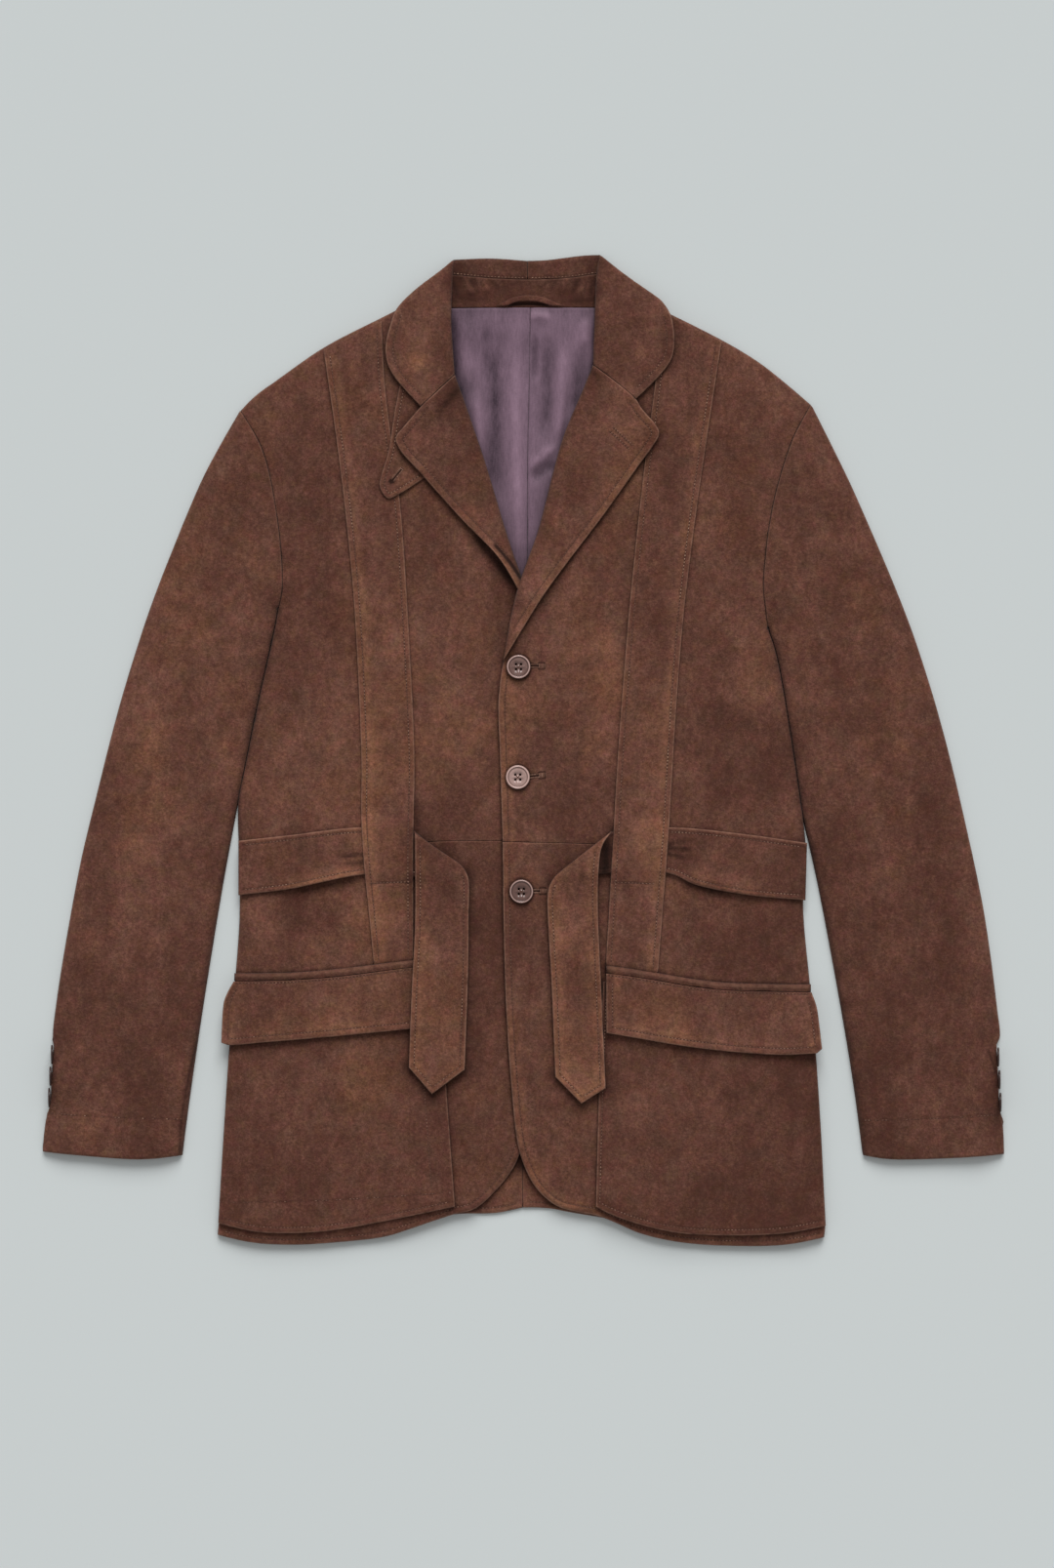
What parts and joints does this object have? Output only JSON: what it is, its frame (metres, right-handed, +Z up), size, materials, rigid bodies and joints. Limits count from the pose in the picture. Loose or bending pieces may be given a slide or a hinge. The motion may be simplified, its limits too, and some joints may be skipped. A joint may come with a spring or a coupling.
{
  "type": "belted suede jacket laid flat",
  "caption": "Brown suede button jacket with notch lapels, front straps, folded belt tails, flap pockets and satin lining, lying face up.",
  "frame": {"origin": "middle of the jacket's box, on the surface that it lies on", "axes": "+Z up from the surface, +Y towards the collar, +X to the viewer's right"},
  "size_m": [0.7866, 0.8118, 0.0176],
  "materials": {
    "suede": "napped brown suede, mottled, paler where the edges are worn",
    "lining": "mauve satin with a soft sheen",
    "buttons": "dark brown horn-like gloss"
  },
  "bodies": {
    "root": {"back_left": "suede", "back_right": "suede", "belt_end_left": "suede", "belt_end_right": "suede", "belt_left": "suede", "belt_right": "suede", "collar_back": "suede", "collar_left": "suede", "collar_right": "suede", "collar_stand_left": "suede", "collar_stand_right": "suede", "cuff_button_left_1": "buttons", "cuff_button_left_2": "buttons", "cuff_button_left_3": "buttons", "cuff_button_right_1": "buttons", "cuff_button_right_2": "buttons", "cuff_button_right_3": "buttons", "flap_left": "suede", "flap_right": "suede", "front_button_1": "buttons", "front_button_2": "buttons", "front_button_3": "buttons", "front_left_lower": "suede", "front_left_upper": "suede", "front_right_lower": "suede", "front_right_upper": "suede", "hanger_loop": "suede", "lapel_left": "suede", "lapel_right": "suede", "lining_left": "lining", "lining_right": "lining", "neck_facing": "suede", "pocket_left": "suede", "pocket_right": "suede", "sleeve_top_left": "suede", "sleeve_top_right": "suede", "sleeve_under_left": "suede", "sleeve_under_right": "suede", "strap_left": "suede", "strap_right": "suede", "throat_tab": "suede", "welt_left": "suede", "welt_right": "suede"}
  },
  "joints": []
}
